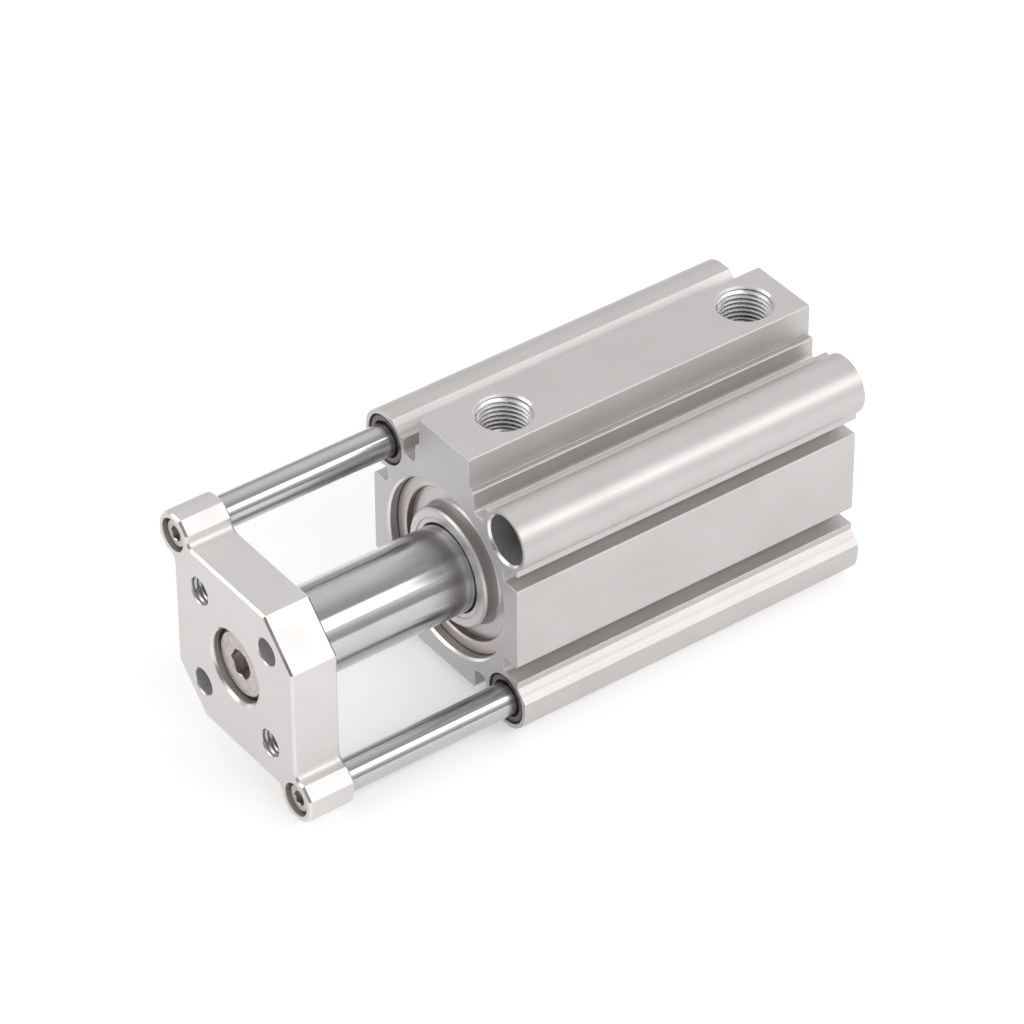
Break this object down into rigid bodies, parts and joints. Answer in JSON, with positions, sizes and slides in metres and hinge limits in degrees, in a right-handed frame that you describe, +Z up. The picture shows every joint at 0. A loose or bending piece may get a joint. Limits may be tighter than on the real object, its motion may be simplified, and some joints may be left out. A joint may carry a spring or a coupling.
{
  "type": "guided pneumatic cylinder",
  "caption": "Compact double-acting pneumatic cylinder whose guide rods keep its square end plate from turning, with air ports on top and sensor grooves along the body.",
  "frame": {"origin": "where the cylinder axis meets the front face of the tube", "axes": "+X along the cylinder axis, the way the rod extends; +Z up to the air ports; +Y to the side with the upper mounting hole"},
  "size_m": [0.1149, 0.045, 0.05],
  "materials": {
    "anodised_extrusion": "clear anodised satin extrusion",
    "anodised_plate": "clear anodised fine milled plate",
    "turned_cover": "turned, clear anodised",
    "hard_chrome": "ground and hard chromed, bright",
    "nickel_plated_steel": "nickel plated, warm satin",
    "phosphated_spring_steel": "phosphated and oiled, warm brown grey",
    "bearing_bronze": "dark oiled sintered bronze",
    "seal_rubber": "matt black nitrile",
    "bonded_magnet": "dark bonded magnet rubber"
  },
  "bodies": {
    "cylinder": {"cylinder_tube": "anodised_extrusion", "rod_cover": "turned_cover", "rod_cover_gasket": "seal_rubber", "rod_cover_retaining_ring": "phosphated_spring_steel", "rod_seal": "seal_rubber", "rod_bushing": "bearing_bronze", "rod_side_bumper": "seal_rubber", "head_cover": "turned_cover", "head_cover_gasket": "seal_rubber", "head_cover_retaining_ring": "phosphated_spring_steel", "head_side_bumper": "seal_rubber", "guide_bushing_upper": "bearing_bronze", "guide_bushing_lower": "bearing_bronze", "guide_wiper_upper": "seal_rubber", "guide_wiper_lower": "seal_rubber"},
    "rod_and_plate": {"piston_rod": "hard_chrome", "piston": "turned_cover", "piston_seal": "seal_rubber", "piston_magnet": "bonded_magnet", "piston_screw": "nickel_plated_steel", "guide_rod_upper": "hard_chrome", "guide_rod_lower": "hard_chrome", "end_plate": "anodised_plate", "plate_screw": "nickel_plated_steel", "guide_screw_upper": "nickel_plated_steel", "guide_screw_lower": "nickel_plated_steel"}
  },
  "joints": [
    {"name": "rod_slide", "type": "slide", "parent": "cylinder", "child": "rod_and_plate", "axis": [1, 0, 0], "range_m": [-0.0268, 0.0132]}
  ]
}
